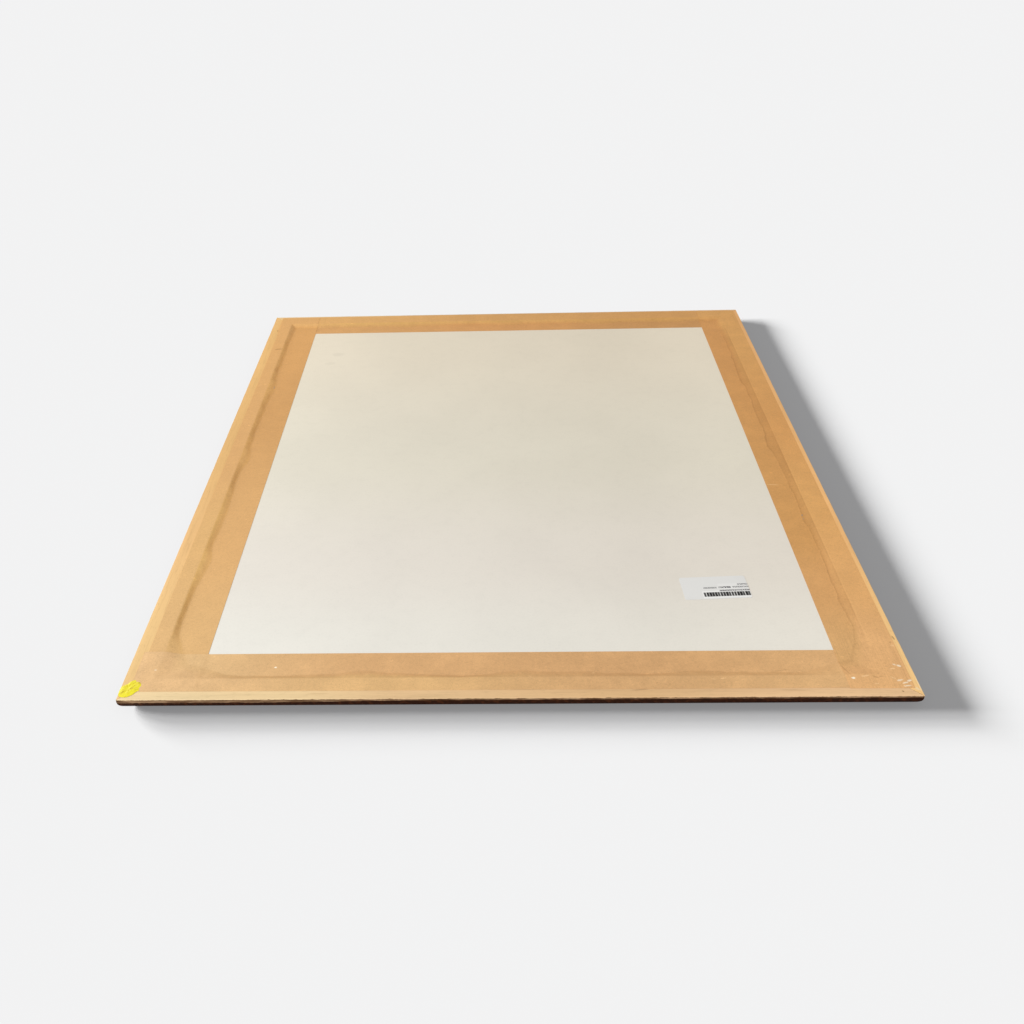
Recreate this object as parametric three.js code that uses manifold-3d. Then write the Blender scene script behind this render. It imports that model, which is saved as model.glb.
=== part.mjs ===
// A framed picture, lying face down: four mitred moulding rails, the sealed package of glass, window mat,
// art sheet and backing board in their rebate, the steel points and v-nails that hold it together, the
// paper tape over the joint, the stock label and a daub of paint.
// Millimetres. X is the width, Y the length, +Z is up, out of the back. The origin is on the ground under
// the middle. The near rail is at -Y.
import * as THREE from 'three';
import { mergeVertices } from 'three/addons/utils/BufferGeometryUtils.js';
import Module from 'manifold-3d';

const wasm = await Module();
wasm.setup();

// Driving dimensions -----------------------------------------------------------------------------------

const FRAME_WIDTH = 610;
const FRAME_LENGTH = 762;
const FRAME_DEPTH = 12.7;

// moulding section, with distances counted inwards from the outer edge
const MOULDING_WIDTH = 32;
const REBATE_WALL = 24;
const LIP_THICKNESS = 3.1;
const SIDE_STRAIGHT = 2.5;
const ROUND_OVER_WIDTH = 14;
const SIGHT_BEVEL_WIDTH = 3.5;
const SIGHT_BEVEL_HEIGHT = 1.5;
const MITRE_GAP = 0.15;

// the package, from the glass up
const PACKAGE_WIDTH = 559;
const PACKAGE_LENGTH = 711;
const LAYER_GAP = 0.05;
const GLASS_THICKNESS = 2;
const MAT_THICKNESS = 1.4;
const MAT_WINDOW_WIDTH = 406;
const MAT_WINDOW_LENGTH = 508;
const ART_THICKNESS = 0.2;
const ART_MARGIN = 12;
const BOARD_THICKNESS = 3;

// paper tape, all cut from one roll
const TAPE_WIDTH = 48;
const TAPE_THICKNESS = 0.25;
const TAPE_RAMP = 10;
const TAPE_STEP = 0.5;

// steel points in the rebate wall
const POINT_WIDTH = 9;
const POINT_STANDING_OUT = 7;
const POINT_SHOULDER = 3;
const POINT_DRIVEN_IN = 8;
const POINT_THICKNESS = 0.5;

// v-nails across the mitres
const VNAIL_FROM_EDGE = [14, 20];
const VNAIL_LEG = 4.5;
const VNAIL_HALF_ANGLE = THREE.MathUtils.degToRad(50);
const VNAIL_THICKNESS = 0.5;
const VNAIL_HEIGHT = 7;
const VNAIL_BELOW_BACK = 0.2;

const POCKET_CLEARANCE = 0.3;

// stock label on the backing board
const LABEL_WIDTH = 57;
const LABEL_HEIGHT = 32;
const LABEL_THICKNESS = 0.15;
const LABEL_CORNER = 2;
const LABEL_CENTRE = [174, -238.3];
const LABEL_TURN = THREE.MathUtils.degToRad(2.7);

// daub of paint on the near left corner
const DAUB_HEIGHT = 1;
const DAUB_CENTRE = [7.6, 13.2];

const halfWidth = FRAME_WIDTH / 2;
const halfLength = FRAME_LENGTH / 2;
const glassBottom = LIP_THICKNESS + LAYER_GAP;
const matBottom = glassBottom + GLASS_THICKNESS + LAYER_GAP;
const artBottom = matBottom + MAT_THICKNESS + LAYER_GAP;
const boardBottom = artBottom + ART_THICKNESS + LAYER_GAP;
const boardTop = boardBottom + BOARD_THICKNESS;
const pointBottom = boardTop + 2 * LAYER_GAP;
const tapeLift = TAPE_THICKNESS + LAYER_GAP;

// The four sides. Each rail is drawn along its own X, with its outer edge on Y = 0 and its own +Y pointing
// to the middle of the picture, and is then turned and moved to its side. Points are placed along that X.
const SIDES = [
  { name: 'near', length: FRAME_WIDTH, turn: 0, at: [0, -halfLength], points: [-120, 0, 135] },
  { name: 'right', length: FRAME_LENGTH, turn: 1, at: [halfWidth, 0], points: [-128, 15, 177] },
  { name: 'far', length: FRAME_WIDTH, turn: 2, at: [0, halfLength], points: [-125, -5, 130] },
  { name: 'left', length: FRAME_LENGTH, turn: 3, at: [-halfWidth, 0], points: [-168, 2, 192] },
];

// The corners, each by its signs of x and y.
const CORNERS = [
  ['near_left', -1, -1],
  ['near_right', 1, -1],
  ['far_right', 1, 1],
  ['far_left', -1, 1],
];

const WOOD = { color: 0xd9b27a, roughness: 0.7, metalness: 0 };
const STEEL = { color: 0x9a9a98, roughness: 0.45, metalness: 0.9 };
const TAPE = { color: 0xc9935a, roughness: 0.75, metalness: 0 };
const GLASS = { color: 0xdfeeea, roughness: 0.05, metalness: 0, transparent: true, opacity: 0.35 };
const MAT = { color: 0xf2efe6, roughness: 0.9, metalness: 0 };
const ART = { color: 0xe9e3d3, roughness: 0.9, metalness: 0 };
const BOARD = { color: 0xe6dfd0, roughness: 0.8, metalness: 0 };
const LABEL = { color: 0xf4f4f2, roughness: 0.5, metalness: 0 };
const PAINT = { color: 0xf2df12, roughness: 0.5, metalness: 0 };

// Helpers ----------------------------------------------------------------------------------------------

const picture = new THREE.Group();

function add(name, geometry, look, parent = picture) {
  const mesh = new THREE.Mesh(geometry, new THREE.MeshStandardMaterial(look));
  mesh.name = name;
  parent.add(mesh);
  return mesh;
}

function merged(geometry) {
  const bare = geometry.clone();
  bare.deleteAttribute('normal');
  bare.deleteAttribute('uv');
  return mergeVertices(bare, 1e-4);
}

function toSolid(geometry) {
  const closed = merged(geometry);
  return new wasm.Manifold(new wasm.Mesh({
    numProp: 3,
    vertProperties: new Float32Array(closed.attributes.position.array),
    triVerts: new Uint32Array(closed.index.array),
  }));
}

function toGeometry(solid) {
  const mesh = solid.getMesh();
  const geometry = new THREE.BufferGeometry();
  geometry.setAttribute('position', new THREE.BufferAttribute(new Float32Array(mesh.vertProperties), 3));
  geometry.setIndex(new THREE.BufferAttribute(new Uint32Array(mesh.triVerts), 1));
  geometry.computeVertexNormals();
  return geometry;
}

// A flat outline of [x, y] corners, raised from one height to another.
function prism(outline, bottom, top, holes = []) {
  const shape = new THREE.Shape(outline.map(([x, y]) => new THREE.Vector2(x, y)));
  for (const hole of holes) {
    shape.holes.push(new THREE.Path(hole.map(([x, y]) => new THREE.Vector2(x, y))));
  }
  const geometry = new THREE.ExtrudeGeometry(shape, { depth: top - bottom, bevelEnabled: false });
  geometry.translate(0, 0, bottom);
  return geometry;
}

function rectangle(width, length) {
  const x = width / 2;
  const y = length / 2;
  return [[-x, -y], [x, -y], [x, y], [-x, y]];
}

// Moulding rails ---------------------------------------------------------------------------------------

// The section of the moulding as [distance from outer edge, height], anticlockwise from the back arris.
function mouldingSection() {
  const roundHeight = FRAME_DEPTH - SIDE_STRAIGHT;
  const steps = 10;
  const section = [[0, FRAME_DEPTH]];
  for (let i = 0; i <= steps; i++) {
    const angle = (i / steps) * Math.PI / 2;
    section.push([
      ROUND_OVER_WIDTH * (1 - Math.cos(angle)),
      roundHeight * (1 - Math.sin(angle)),
    ]);
  }
  section.push([MOULDING_WIDTH - SIGHT_BEVEL_WIDTH, 0]);
  section.push([MOULDING_WIDTH, SIGHT_BEVEL_HEIGHT]);
  section.push([MOULDING_WIDTH, LIP_THICKNESS]);
  section.push([REBATE_WALL, LIP_THICKNESS]);
  section.push([REBATE_WALL, FRAME_DEPTH]);
  return section;
}

// A rail along X with both ends cut at 45 degrees: each vertex slides along by its distance from the edge.
function mitredRail(length) {
  const corners = mouldingSection().map(([across, height]) => new THREE.Vector2(across, height));
  const shape = new THREE.Shape(corners);
  const geometry = new THREE.ExtrudeGeometry(shape, { depth: 1, bevelEnabled: false });
  const position = geometry.attributes.position;
  for (let i = 0; i < position.count; i++) {
    const across = position.getX(i);
    const height = position.getY(i);
    const end = position.getZ(i) > 0.5 ? 1 : -1;
    position.setXYZ(i, end * (length / 2 - across - MITRE_GAP), across, height);
  }
  return geometry;
}

// The outline of a framer's point lying across the rebate wall, grown by a clearance.
function pointOutline(grow = 0) {
  const half = POINT_WIDTH / 2 + grow;
  return [
    [-half, POINT_STANDING_OUT + grow],
    [-half, -POINT_SHOULDER - grow],
    [0, -POINT_DRIVEN_IN - 1.5 * grow],
    [half, -POINT_SHOULDER - grow],
    [half, POINT_STANDING_OUT + grow],
  ];
}

// The outline of a v-nail with its apex towards +X, grown by a clearance.
function vnailOutline(grow = 0) {
  const sine = Math.sin(VNAIL_HALF_ANGLE);
  const front = grow / sine;
  const back = front - (VNAIL_THICKNESS + 2 * grow) / sine;
  const legX = (VNAIL_LEG + grow) * Math.cos(VNAIL_HALF_ANGLE);
  const legY = (VNAIL_LEG + grow) * sine;
  return [
    [front, 0], [front - legX, legY], [back - legX, legY],
    [back, 0], [back - legX, -legY], [front - legX, -legY],
  ];
}

const vnailTop = FRAME_DEPTH - VNAIL_BELOW_BACK;
const vnailBottom = vnailTop - VNAIL_HEIGHT;

function railWithPockets(side) {
  let rail = toSolid(mitredRail(side.length));
  for (const along of side.points) {
    const pocket = prism(
      pointOutline(POCKET_CLEARANCE),
      pointBottom - POCKET_CLEARANCE,
      pointBottom + POINT_THICKNESS + POCKET_CLEARANCE,
    );
    pocket.translate(along, REBATE_WALL, 0);
    rail = rail.subtract(toSolid(pocket));
  }
  for (const end of [-1, 1]) {
    for (const fromEdge of VNAIL_FROM_EDGE) {
      const slot = prism(vnailOutline(POCKET_CLEARANCE), vnailBottom - POCKET_CLEARANCE, FRAME_DEPTH + 1);
      slot.rotateZ(end > 0 ? -Math.PI / 4 : -3 * Math.PI / 4);
      slot.translate(end * (side.length / 2 - fromEdge), fromEdge, 0);
      rail = rail.subtract(toSolid(slot));
    }
  }
  return toGeometry(rail);
}

for (const side of SIDES) {
  const group = new THREE.Group();
  group.rotation.z = side.turn * Math.PI / 2;
  group.position.set(side.at[0], side.at[1], 0);
  picture.add(group);
  add(`${side.name}_rail`, railWithPockets(side), WOOD, group);
  side.points.forEach((along, i) => {
    const point = prism(pointOutline(), pointBottom, pointBottom + POINT_THICKNESS);
    const mesh = add(`${side.name}_point_${i + 1}`, point, STEEL, group);
    mesh.position.set(along, REBATE_WALL, 0);
  });
}

for (const [corner, x, y] of CORNERS) {
  VNAIL_FROM_EDGE.forEach((fromEdge, i) => {
    const nail = add(`${corner}_vnail_${i + 1}`, prism(vnailOutline(), vnailBottom, vnailTop), STEEL);
    nail.position.set(x * (halfWidth - fromEdge), y * (halfLength - fromEdge), 0);
    nail.rotation.z = Math.atan2(y, x);
  });
}

// The package ------------------------------------------------------------------------------------------

const sheet = rectangle(PACKAGE_WIDTH, PACKAGE_LENGTH);
const matWindow = rectangle(MAT_WINDOW_WIDTH, MAT_WINDOW_LENGTH);
const artOutline = rectangle(MAT_WINDOW_WIDTH + 2 * ART_MARGIN, MAT_WINDOW_LENGTH + 2 * ART_MARGIN);
add('glazing', prism(sheet, glassBottom, glassBottom + GLASS_THICKNESS), GLASS);
add('window_mat', prism(sheet, matBottom, matBottom + MAT_THICKNESS, [matWindow]), MAT);
add('art_sheet', prism(artOutline, artBottom, artBottom + ART_THICKNESS), ART);
add('backing_board', prism(sheet, boardBottom, boardTop), BOARD);

// Paper tape -------------------------------------------------------------------------------------------

// Each strip is a rectangle seen from above. It is laid over the strip named in over, and is lifted there.
const TAPES = {
  far: {
    fromLeft: 9,
    fromRight: 8,
    fromNear: FRAME_LENGTH - 3 - TAPE_WIDTH,
    fromFar: 3,
    over: [],
  },
  left: {
    fromLeft: 10.7,
    fromRight: FRAME_WIDTH - 10.7 - TAPE_WIDTH,
    fromNear: 12,
    fromFar: 4,
    over: ['far'],
  },
  near: {
    fromLeft: 7.4,
    fromRight: 8,
    fromNear: 9.4,
    fromFar: FRAME_LENGTH - 9.4 - TAPE_WIDTH,
    over: ['left'],
  },
  right: {
    fromLeft: FRAME_WIDTH - 4.4 - TAPE_WIDTH,
    fromRight: 4.4,
    fromNear: 8.6,
    fromFar: 3.6,
    over: ['far', 'near'],
  },
};

function tapeBox(tape) {
  return {
    x0: tape.fromLeft - halfWidth,
    x1: halfWidth - tape.fromRight,
    y0: tape.fromNear - halfLength,
    y1: halfLength - tape.fromFar,
  };
}

// The surface under the tape: the back of the rails, a slope off the rebate's arris, then the board.
function groundUnderTape(x, y) {
  const inwards = Math.min(halfWidth - Math.abs(x), halfLength - Math.abs(y));
  const slope = THREE.MathUtils.clamp((inwards - REBATE_WALL) / TAPE_RAMP, 0, 1);
  return THREE.MathUtils.lerp(FRAME_DEPTH, boardTop, slope);
}

// 1 over the strip below, 0 clear of it, with a short slope outside its edge.
function lift(x, y, below) {
  const box = tapeBox(below);
  const outside = Math.max(box.x0 - x, x - box.x1, box.y0 - y, y - box.y1);
  return 1 - THREE.MathUtils.clamp((outside - LAYER_GAP) / TAPE_STEP, 0, 1);
}

// Grid lines along one axis: the strip's ends, the slope's two creases at each side, and the lifts.
function gridLines(from, to, half, marks) {
  const lines = [from, to];
  for (const crease of [REBATE_WALL, REBATE_WALL + TAPE_RAMP]) {
    lines.push(crease - half, half - crease);
  }
  for (const mark of marks) {
    for (const side of [-1, 1]) {
      lines.push(mark + side * LAYER_GAP, mark + side * (LAYER_GAP + TAPE_STEP));
    }
  }
  const inside = lines.filter((line) => line >= from && line <= to).sort((a, b) => a - b);
  return inside.filter((line, i) => i === 0 || line - inside[i - 1] > 1e-3);
}

function tapeGeometry(tape) {
  const box = tapeBox(tape);
  const below = tape.over.map((name) => TAPES[name]);
  const xs = gridLines(box.x0, box.x1, halfWidth, below.flatMap((b) => [tapeBox(b).x0, tapeBox(b).x1]));
  const ys = gridLines(box.y0, box.y1, halfLength, below.flatMap((b) => [tapeBox(b).y0, tapeBox(b).y1]));
  const underside = (x, y) => groundUnderTape(x, y) + LAYER_GAP
    + tapeLift * Math.max(0, ...below.map((b) => lift(x, y, b)));
  const vertices = [];
  for (const raised of [0, TAPE_THICKNESS]) {
    for (const y of ys) {
      for (const x of xs) vertices.push(x, y, underside(x, y) + raised);
    }
  }
  const layer = xs.length * ys.length;
  const at = (i, j, top) => top * layer + j * xs.length + i;
  const triangles = [];
  for (let j = 0; j < ys.length - 1; j++) {
    for (let i = 0; i < xs.length - 1; i++) {
      const midX = (xs[i] + xs[i + 1]) / 2;
      const midY = (ys[j] + ys[j + 1]) / 2;
      // the split of each square runs from the frame's corner towards its middle, as the folds do
      const rising = midX * midY > 0;
      for (const top of [0, 1]) {
        const [a, b, c, d] = [at(i, j, top), at(i + 1, j, top), at(i + 1, j + 1, top), at(i, j + 1, top)];
        const faces = rising ? [[a, b, c], [a, c, d]] : [[a, b, d], [b, c, d]];
        for (const [p, q, r] of faces) triangles.push(...(top ? [p, q, r] : [r, q, p]));
      }
    }
  }
  const wall = (p, q, pTop, qTop) => triangles.push(p, q, qTop, p, qTop, pTop);
  const lastX = xs.length - 1;
  const lastY = ys.length - 1;
  for (let i = 0; i < lastX; i++) {
    wall(at(i, 0, 0), at(i + 1, 0, 0), at(i, 0, 1), at(i + 1, 0, 1));
    wall(at(i + 1, lastY, 0), at(i, lastY, 0), at(i + 1, lastY, 1), at(i, lastY, 1));
  }
  for (let j = 0; j < lastY; j++) {
    wall(at(0, j + 1, 0), at(0, j, 0), at(0, j + 1, 1), at(0, j, 1));
    wall(at(lastX, j, 0), at(lastX, j + 1, 0), at(lastX, j, 1), at(lastX, j + 1, 1));
  }
  const geometry = new THREE.BufferGeometry();
  geometry.setAttribute('position', new THREE.Float32BufferAttribute(vertices, 3));
  geometry.setIndex(triangles);
  geometry.computeVertexNormals();
  return geometry;
}

for (const [name, tape] of Object.entries(TAPES)) add(`${name}_tape`, tapeGeometry(tape), TAPE);

// Stock label ------------------------------------------------------------------------------------------

function roundedRectangle(width, height, radius) {
  const steps = 4;
  const corners = [[1, -1, -0.5], [1, 1, 0], [-1, 1, 0.5], [-1, -1, 1]];
  return corners.flatMap(([x, y, quarter]) => Array.from({ length: steps + 1 }, (_, i) => {
    const angle = (quarter + 0.5 * i / steps) * Math.PI;
    return [
      x * (width / 2 - radius) + radius * Math.cos(angle),
      y * (height / 2 - radius) + radius * Math.sin(angle),
    ];
  }));
}

const labelOutline = roundedRectangle(LABEL_WIDTH, LABEL_HEIGHT, LABEL_CORNER);
const label = add('stock_label', prism(labelOutline, 0, LABEL_THICKNESS), LABEL);
label.position.set(LABEL_CENTRE[0], LABEL_CENTRE[1], boardTop + LAYER_GAP);
label.rotation.z = LABEL_TURN;

// Paint daub -------------------------------------------------------------------------------------------

// Two overlapping lobes as one wavy outline, lying over the bare corner and the ends of two strips.
function daubOutline() {
  const steps = 28;
  return Array.from({ length: steps }, (_, i) => {
    const angle = (i / steps) * 2 * Math.PI;
    const along = 11 + 0.8 * Math.cos(3 * angle);
    const across = 5.4 + 1.2 * Math.cos(2 * angle) + 0.4 * Math.sin(5 * angle);
    const lean = THREE.MathUtils.degToRad(62);
    const x = along * Math.cos(angle);
    const y = across * Math.sin(angle);
    return [x * Math.cos(lean) - y * Math.sin(lean), x * Math.sin(lean) + y * Math.cos(lean)];
  });
}

function daubGeometry() {
  const tapeTop = FRAME_DEPTH + LAYER_GAP + 2 * tapeLift;
  const daub = prism(daubOutline(), FRAME_DEPTH + LAYER_GAP, tapeTop + DAUB_HEIGHT);
  daub.translate(DAUB_CENTRE[0] - halfWidth, DAUB_CENTRE[1] - halfLength, 0);
  const near = tapeBox(TAPES.near);
  const room = prism([
    [near.x0 - POCKET_CLEARANCE, near.y0 - POCKET_CLEARANCE],
    [near.x0 + TAPE_WIDTH, near.y0 - POCKET_CLEARANCE],
    [near.x0 + TAPE_WIDTH, near.y0 + TAPE_WIDTH],
    [near.x0 - POCKET_CLEARANCE, near.y0 + TAPE_WIDTH],
  ], 0, tapeTop);
  return toGeometry(toSolid(daub).subtract(toSolid(room)));
}

add('paint_daub', daubGeometry(), PAINT);

export default picture;
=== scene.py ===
# %% [markdown]
# # The back of a framed picture
# This notebook dresses a framed picture that lies on its face: bare wooden rails with a dark outer side,
# brown paper tape over the joint, an off-white backing board, a stock label and a daub of yellow paint.
# The measured model of the frame is loaded first and never moved. Every piece made here is put where that
# model says, in metres, and every finish is worked out by shader nodes, with no pictures.

# %% Load the measured frame
import math

import bmesh
import bpy
from mathutils import Matrix, Vector, noise


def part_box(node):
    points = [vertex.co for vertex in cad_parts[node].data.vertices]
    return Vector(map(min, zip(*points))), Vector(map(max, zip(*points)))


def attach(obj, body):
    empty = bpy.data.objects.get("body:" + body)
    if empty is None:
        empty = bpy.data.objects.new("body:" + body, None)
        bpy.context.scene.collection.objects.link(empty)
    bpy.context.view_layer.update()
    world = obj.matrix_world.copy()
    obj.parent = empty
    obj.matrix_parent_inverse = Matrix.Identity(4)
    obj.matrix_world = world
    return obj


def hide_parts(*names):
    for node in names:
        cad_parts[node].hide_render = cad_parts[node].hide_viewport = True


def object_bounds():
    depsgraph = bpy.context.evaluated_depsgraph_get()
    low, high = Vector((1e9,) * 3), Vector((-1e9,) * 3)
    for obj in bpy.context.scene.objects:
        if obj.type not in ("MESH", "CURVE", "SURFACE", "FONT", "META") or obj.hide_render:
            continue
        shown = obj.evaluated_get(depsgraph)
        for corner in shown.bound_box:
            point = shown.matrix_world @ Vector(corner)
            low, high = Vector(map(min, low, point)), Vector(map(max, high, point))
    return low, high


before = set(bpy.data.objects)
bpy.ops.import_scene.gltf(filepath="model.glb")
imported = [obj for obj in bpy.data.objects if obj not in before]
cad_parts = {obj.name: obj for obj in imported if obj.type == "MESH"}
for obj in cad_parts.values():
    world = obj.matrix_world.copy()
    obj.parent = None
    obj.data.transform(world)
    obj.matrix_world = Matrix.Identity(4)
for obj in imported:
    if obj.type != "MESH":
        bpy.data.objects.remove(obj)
lowest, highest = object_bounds()

# %% [markdown]
# The few sizes that the new pieces share are read off the measured nodes, so that nothing is typed twice.
# The back of the rails is the top of the near rail, the board's top is the ground that the tape comes down
# to, and each tape strip's box says where its paper lies. `MM` lets small sizes be written in millimetres.

# %% Sizes taken from the measured nodes
MM = 0.001

rail_low, rail_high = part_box("near_rail")
_, board_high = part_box("backing_board")
glass_low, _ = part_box("glazing")

FRAME_WIDTH = highest.x - lowest.x
FRAME_LENGTH = highest.y - lowest.y
HALF = Vector((FRAME_WIDTH / 2, FRAME_LENGTH / 2))
BACK = rail_high.z
BOARD_TOP = board_high.z
LIP_TOP = round(glass_low.z, 4)
MOULDING_WIDTH = rail_high.y - rail_low.y
REBATE_WALL = 24 * MM
print("back of the rails at", round(BACK / MM, 2), "mm, board top at", round(BOARD_TOP / MM, 2), "mm")

# %% [markdown]
# ## The camera
# A camera is set up first, because every choice of detail depends on how near it looks. It stands about a
# metre from the middle of the frame and two thirds of a metre from the near rail, and looks down at 32
# degrees. A turn is easiest to read as three plain moves: aim by heading, tip down by pitch, and then lean
# by roll. They are multiplied in that order. The small shift moves the framing sideways without turning the
# camera.

# %% Camera
CAMERA_PLACE = Vector((-0.0109, -1.0236, 0.5805))
HEADING = math.radians(2.336)
PITCH = math.radians(32.0)
ROLL = math.radians(-1.885)
LENS_MM = 39.375
SIDEWAYS_SHIFT = 0.0508

camera_data = bpy.data.cameras.new("camera")
camera_data.sensor_width = 36
camera_data.lens = LENS_MM
camera_data.shift_x = SIDEWAYS_SHIFT
camera_data.clip_start = 0.01
camera = bpy.data.objects.new("camera", camera_data)
bpy.context.scene.collection.objects.link(camera)
aim = Matrix.Rotation(HEADING, 4, "Z") @ Matrix.Rotation(math.pi / 2 - PITCH, 4, "X")
camera.matrix_world = Matrix.Translation(CAMERA_PLACE) @ aim @ Matrix.Rotation(ROLL, 4, "Z")
bpy.context.scene.camera = camera
print("camera looks from", [round(v, 3) for v in camera.location])

# %% [markdown]
# ## Small helpers for working by hand
# Blender's operators act on whatever is selected, so each step starts by letting go of everything and then
# picking the faces, edges or corners it needs by where they are. `pick` does that with a plain test.
# `new_piece` names what an Add operator has just made, and `add_modifier` applies a modifier at once.

# %% Modelling helpers
def let_go():
    """Leave edit mode and deselect every object."""
    if bpy.context.object is not None and bpy.context.object.mode != "OBJECT":
        bpy.ops.object.mode_set(mode="OBJECT")
    bpy.ops.object.select_all(action="DESELECT")


def work_on(piece):
    """Make the piece the only selected object and open it in edit mode, with nothing picked."""
    let_go()
    piece.select_set(True)
    bpy.context.view_layer.objects.active = piece
    bpy.ops.object.mode_set(mode="EDIT")
    bpy.ops.mesh.select_all(action="DESELECT")


def new_piece(name):
    """Name the object that an Add operator has just made, with its place moved into its mesh."""
    piece = bpy.context.object
    piece.name = piece.data.name = name
    bpy.ops.object.transform_apply(location=True, rotation=True, scale=True)
    return piece


def pick(piece, kind, test):
    """In edit mode, pick the VERT, EDGE or FACE items whose middle point and normal pass the test."""
    bpy.ops.mesh.select_mode(type=kind)
    bpy.ops.mesh.select_all(action="DESELECT")
    mesh = bmesh.from_edit_mesh(piece.data)
    items = {"VERT": mesh.verts, "EDGE": mesh.edges, "FACE": mesh.faces}[kind]
    for item in items:
        if kind == "FACE":
            chosen = test(item.calc_center_median(), item.normal)
        elif kind == "EDGE":
            first, second = (v.co for v in item.verts)
            chosen = test((first + second) / 2, (second - first).normalized())
        else:
            chosen = test(item.co, item.normal)
        if chosen:
            item.select_set(True)
    bmesh.update_edit_mesh(piece.data)


def add_modifier(piece, kind, **settings):
    """Give the piece a modifier with these settings and apply it."""
    let_go()
    piece.select_set(True)
    bpy.context.view_layer.objects.active = piece
    modifier = piece.modifiers.new(kind.lower(), kind)
    for name, value in settings.items():
        setattr(modifier, name, value)
    bpy.ops.object.modifier_apply(modifier=modifier.name)


def smooth(piece, degrees):
    """Smooth shading, with edges sharper than this left sharp."""
    let_go()
    piece.select_set(True)
    bpy.context.view_layer.objects.active = piece
    bpy.ops.object.shade_smooth_by_angle(angle=math.radians(degrees))


def triangles(piece):
    return sum(len(face.vertices) - 2 for face in piece.data.polygons)


# %% [markdown]
# ## The moulding rails
# A picture frame rail is milled from one length of wood: thick at the back, with a thin lip that reaches in
# under the glass, and rounded over on the outside. It could be extruded from a drawn section, but cutting it
# as a joiner does keeps every step in view. The thick part is a block. The lip is pulled out of its inner
# side, the outer corner is rounded by a bevel, and the ends are sawn at 45 degrees with bisect. The round is
# wider than it is high, so the block is drawn narrow, given an even bevel, and then stretched.

# %% Mill one length of moulding
ROUND_HEIGHT = 10.2 * MM
ROUND_WIDTH = 14 * MM
ARRIS = 0.35 * MM
SIGHT_BEVEL = 2.2 * MM


def mill_moulding(name, length):
    """A length of moulding along X: outer edge on Y = 0, the lip towards +Y, the back on top."""
    squeeze = ROUND_HEIGHT / ROUND_WIDTH
    body_width = REBATE_WALL * squeeze
    let_go()
    at = (0, body_width / 2, BACK / 2)
    bpy.ops.mesh.primitive_cube_add(size=1, location=at, scale=(length, body_width, BACK))
    rail = new_piece(name)
    work_on(rail)
    pick(rail, "EDGE", lambda at, run: abs(run.x) > 0.9 and at.y < 1e-5 and at.z < 1e-5)
    bpy.ops.mesh.bevel(offset=ROUND_HEIGHT, segments=14, profile=0.5)
    bpy.ops.mesh.select_all(action="SELECT")
    bpy.ops.transform.resize(value=(1, 1 / squeeze, 1), center_override=(0, 0, 0))
    bpy.ops.mesh.bisect(plane_co=(0, 0, LIP_TOP), plane_no=(0, 0, 1))
    pick(rail, "FACE", lambda at, normal: normal.y > 0.9 and at.z < LIP_TOP)
    lip = (0, MOULDING_WIDTH - REBATE_WALL, 0)
    bpy.ops.mesh.extrude_region_move(TRANSFORM_OT_translate={"value": lip})
    pick(rail, "EDGE", lambda at, run: abs(run.x) > 0.9 and at.y > MOULDING_WIDTH - 1e-5 and at.z < 1e-5)
    bpy.ops.mesh.bevel(offset=SIGHT_BEVEL, segments=3, profile=0.6)
    pick(rail, "EDGE", lambda at, run: abs(run.x) > 0.9 and at.z > BACK - 1e-5)
    bpy.ops.mesh.bevel(offset=ARRIS, segments=3, profile=0.5)
    return rail


# %% [markdown]
# The saw leaves each end at 45 degrees. A tight mitre shows as a hairline, and one that has opened a little
# at the outer corner shows as a thin dark wedge, so the angle and the gap can be given for each end. After
# sawing, the long edges are subdivided, which gives the outer side enough corners to be worn unevenly.

# %% Saw the ends and wear the outer edge
MITRE_GAP = 0.15 * MM
WEAR_STEP = 4 * MM
WEAR_DEPTH = 0.28 * MM


def saw_end(rail, length, end, gap=MITRE_GAP, opening=0.0):
    """Cut one end (-1 or 1) at 45 degrees, set back by a gap, turned further open by some radians."""
    angle = math.pi / 4 + opening
    across = Vector((math.sin(angle) * end, math.cos(angle), 0))
    bpy.ops.mesh.select_all(action="SELECT")
    bpy.ops.mesh.bisect(
        plane_co=(end * (length / 2 - gap - MOULDING_WIDTH), MOULDING_WIDTH, 0),
        plane_no=across, clear_outer=True, use_fill=True,
    )


def wear_edge(rail, length, seed):
    """Split the rail along its length and move the outer arris in and out by a little noise."""
    cuts = int(length / WEAR_STEP)
    pick(rail, "EDGE", lambda at, run: abs(run.x) > 0.9)
    bpy.ops.mesh.subdivide(number_cuts=cuts)
    bpy.ops.object.mode_set(mode="OBJECT")
    for corner in rail.data.vertices:
        outer = max(0.0, 1 - corner.co.y / (3 * MM)) * max(0.0, 1 - (BACK - corner.co.z) / (6 * MM))
        rough = noise.noise(Vector((corner.co.x * 60, corner.co.z * 90, seed)))
        fine = noise.noise(Vector((corner.co.x * 240, corner.co.z * 200, seed + 5)))
        corner.co.y += outer * WEAR_DEPTH * max(0.0, rough + 0.6 * fine)


def make_rail(name, length, seed, openings=(0.0, 0.0)):
    rail = mill_moulding(name, length)
    for end, opening in zip((-1, 1), openings):
        saw_end(rail, length, end, opening=opening)
    wear_edge(rail, length, seed)
    return rail


# %% [markdown]
# Each rail is milled and sawn by itself, lying along X. Then its mesh is turned to its side and moved out to
# the edge of the frame. It is the mesh that is turned, so the object stays unturned and the grain can be
# read from its coordinates. Only the near rail has a mitre that has opened, at its right end.

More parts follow.
